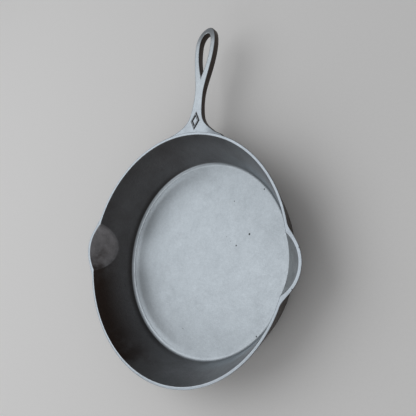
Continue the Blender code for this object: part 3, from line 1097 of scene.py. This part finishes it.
def bare_iron(name):
    """Ground iron on the floor, the rim and the handle's top, and darker as-cast iron elsewhere."""
    material = bpy.data.materials.new(name)
    tree = Tree(material)
    region = Regions(tree)
    place = region.place
    ground = tree.math("MAXIMUM", region.floor, region.ground_top)
    pits = tree.math("MAXIMUM", pit_mask(tree, place), blemish_mask(tree, region, ground))

    colour = tree.mix(region.inner_wall, CAST_COLOUR, inner_wall_colour(tree, region))
    colour = tree.mix(ground, colour, ground_colour(tree, region))
    for scale, amount, detail in COLOUR_GRAINS:
        colour = tree.scaled(colour, tree.varied(place, scale, amount, detail))
    # Painted shade round the raised lozenge's foot
    colour = tree.mix(mark_shade_mask(tree, region), colour, MARK_SHADE_COLOUR)
    colour = tree.mix(pits, colour, PIT_COLOUR)

    roughness = tree.ramp(ground, 0, 1, CAST_ROUGHNESS, GROUND_ROUGHNESS)
    for scale, amount, detail in ROUGHNESS_GRAINS:
        roughness = tree.times(roughness, tree.varied(place, scale, amount, detail))

    sand = tree.math("ADD", tree.noise(place, *FINE_SAND), tree.noise(place, *COARSE_SAND))
    height = tree.math("SUBTRACT", sand, pits)
    strength = tree.ramp(ground, 0, 1, CAST_BUMP, GROUND_BUMP)
    inputs = {"Strength": strength, "Distance": SAND_DEPTH, "Height": height}
    bump = tree.add("ShaderNodeBump", inputs)

    looks = {"Metallic": 1.0, "Base Color": colour, "Roughness": roughness, "Normal": bump}
    for socket, value in looks.items():
        tree.give(tree.shader[socket], value)
    return material


def mark_shade_mask(tree, region):
    """Painted shade in the corner where the raised lozenge meets the root, fainter on its line's
    crest.
    """
    across, along = (
        tree.math("ABSOLUTE", tree.math("DIVIDE", tree.math("SUBTRACT", at, middle), half))
        for at, middle, half in zip((region.across, region.along), MARK_MIDDLE, MARK_HALF)
    )
    middle_line = 1 - MARK_LINE / MARK_HALF.x / 2
    off = tree.math("SUBTRACT", tree.math("ADD", across, along), middle_line)
    off = tree.math("ABSOLUTE", off)
    crest = tree.ramp(off, *MARK_SHADE_CREST, MARK_SHADE_ON_CREST, 1.0)
    top = handle_top(0, MARK_MIDDLE.y)
    above = tree.ramp(region.height, *(top - depth for depth in MARK_SHADE_DEPTHS))
    return tree.times(tree.times(tree.ramp(off, *MARK_SHADE_SPAN), crest), above)


def pit_mask(tree, place):
    """A few tiny pinholes, such as sand leaves in a casting."""
    inputs = {"Vector": place, "Scale": PIT_SCALE}
    nearness = tree.add("ShaderNodeTexVoronoi", inputs, "Distance")
    chance = tree.add("ShaderNodeTexVoronoi", inputs, "Color")
    chosen = tree.ramp(tree.add("ShaderNodeSeparateColor", {0: chance}, "Red"), *PIT_CHANCE)
    return tree.times(tree.ramp(nearness, *PIT_EDGE), chosen)


def blemish_mask(tree, region, ground):
    """The larger pinholes, on the ground faces, each at its own place."""
    found = 0.0
    for across, along, size in BLEMISHES:
        distance = tree.vector("DISTANCE", region.flat, (across, along, 0), "Value")
        spot = tree.ramp(distance, size + BLEMISH_EDGE, size - BLEMISH_EDGE)
        found = tree.math("MAXIMUM", found, spot)
    return tree.times(found, ground)


def build_bowl(root, material):
    angles = column_angles(root.wing_angle)
    bowl = Bowl(angles)
    # A brick counts by the angle it starts at, and the nudge keeps rounding out of it
    at_spout = np.abs(from_spout(angles + SPOUT_NUDGE)) < SPOUT_SPAN
    right, back = np.cos(angles) > 0, np.sin(angles) > 0

    def node_of(k, j):
        """The CAD node that a brick of the bowl belongs to."""
        if k < bowl.floor_rung:
            return "cooking_floor"
        if at_spout[j] and k >= bowl.spout_rung:
            return "pour_spout_right" if right[j] else "pour_spout_left"
        if not at_spout[j] and k >= bowl.rim_rung:
            return "rim_back" if back[j] else "rim_front"
        return "side_wall"

    pieces = (
        ("floor_skin", "cooking_floor", "cooking_floor"),
        ("wall_skin", "side_wall", "side_wall"),
        ("rim_back_skin", "rim", "rim_back"),
        ("rim_front_skin", "rim", "rim_front"),
        ("spout_right_skin", "pour_spout", "pour_spout_right"),
        ("spout_left_skin", "pour_spout", "pour_spout_left"),
    )
    whole = Skin()
    bowl.add_bricks(whole, lambda k, j: True)
    shading = Shading(whole)
    for name, slot, node in pieces:
        skin = Skin()
        bowl.add_bricks(skin, lambda k, j: node_of(k, j) == node)
        make_piece(name, skin, shading, material, node)


def build_handle(root, material):
    makers = {"handle_root": root.add, "handle_shank": add_shank, "handle_eye": add_eye}
    whole, skins = Skin(), {}
    for node, add_faces in makers.items():
        skins[node] = Skin()
        add_faces(skins[node])
        whole.add(skins[node])
    shading = Shading(whole)
    shading.set(root.exact_normals(shading))
    for node, skin in skins.items():
        make_piece(f"{node}_skin", skin, shading, material, node)


def build_mark(material):
    """A raised lozenge frame on the root, whose foot is sunk a little into the iron."""
    middle, half = MARK_MIDDLE, MARK_HALF
    base = handle_top(0, middle.y)
    high = MARK_HIGH.z - base
    profile = (
        (0, -MARK_SUNK),
        (MARK_SLOPE, high - MARK_SLOPE),
        (2 * MARK_SLOPE, high),
        (MARK_LINE - 2 * MARK_SLOPE, high),
        (MARK_LINE - MARK_SLOPE, high - MARK_SLOPE),
        (MARK_LINE, -MARK_SUNK),
    )
    skin = Skin()
    rings = []
    for inset, level in profile:
        share = 1 - inset / half.x
        corners = [(half.x, 0), (0, half.y), (-half.x, 0), (0, -half.y)]
        ring = []
        for here, ahead in zip(corners, corners[1:] + corners[:1]):
            for part in shares_of(MARK_STEPS)[:-1]:
                across, along = between(np.array(here), np.array(ahead), part) * share
                ring.append((middle.x + across, middle.y + along, base + level))
        rings.append([*ring, ring[0]])
    skin.grid([*rings, rings[0]])
    make_piece("mark_skin", skin, Shading(skin), material, "size_mark")


# The studio


def add_softbox(name, aim, distance, size, power):
    """A round area light that lies in the direction of aim and looks at the pan."""
    data = bpy.data.lights.new(name, "AREA")
    data.shape = "DISK"
    data.size = size
    data.energy = power
    lamp = add_object(name, data)
    direction = Vector(aim).normalized()
    lamp.location = direction * distance
    lamp.rotation_euler = direction.to_track_quat("Z", "Y").to_euler()


def add_world():
    world = bpy.data.worlds.new("studio")
    world.use_nodes = True
    background = world.node_tree.nodes["Background"]
    background.inputs["Color"].default_value = (*WORLD_COLOUR, 1)
    bpy.context.scene.world = world


def add_camera():
    data = bpy.data.cameras.new("camera")
    data.lens = CAMERA_LENS
    camera = add_object("camera", data)
    camera.location = CAMERA_PLACE
    camera.rotation_euler = [math.radians(turn) for turn in CAMERA_TURNS]
    bpy.context.scene.camera = camera


def paper_material():
    material = bpy.data.materials.new("studio_paper")
    tree = Tree(material)
    place = tree.add("ShaderNodeTexCoord", {}, "Object")
    colour = tree.scaled(PAPER_COLOUR, tree.varied(place, *PAPER_GRAIN))
    tree.give(tree.shader["Roughness"], PAPER_ROUGHNESS)
    tree.give(tree.shader["Base Color"], colour)
    return material


def add_studio_floor():
    half = STUDIO_SIZE / 2
    mesh = bpy.data.meshes.new("studio_floor")
    corners = [(-half, -half, 0), (half, -half, 0), (half, half, 0), (-half, half, 0)]
    mesh.from_pydata(corners, [], [(0, 1, 2, 3)])
    mesh.materials.append(paper_material())
    floor = add_object("studio_floor", mesh)
    floor.location.z = -STUDIO_GAP


def build():
    root = Root()
    iron = bare_iron("bare_iron")
    build_bowl(root, iron)
    build_handle(root, iron)
    build_mark(iron)
    for name, lamp in SOFTBOXES.items():
        add_softbox(name, *lamp)
    add_world()
    add_camera()
    add_studio_floor()
    bpy.context.scene.view_settings.view_transform = "Standard"


build()
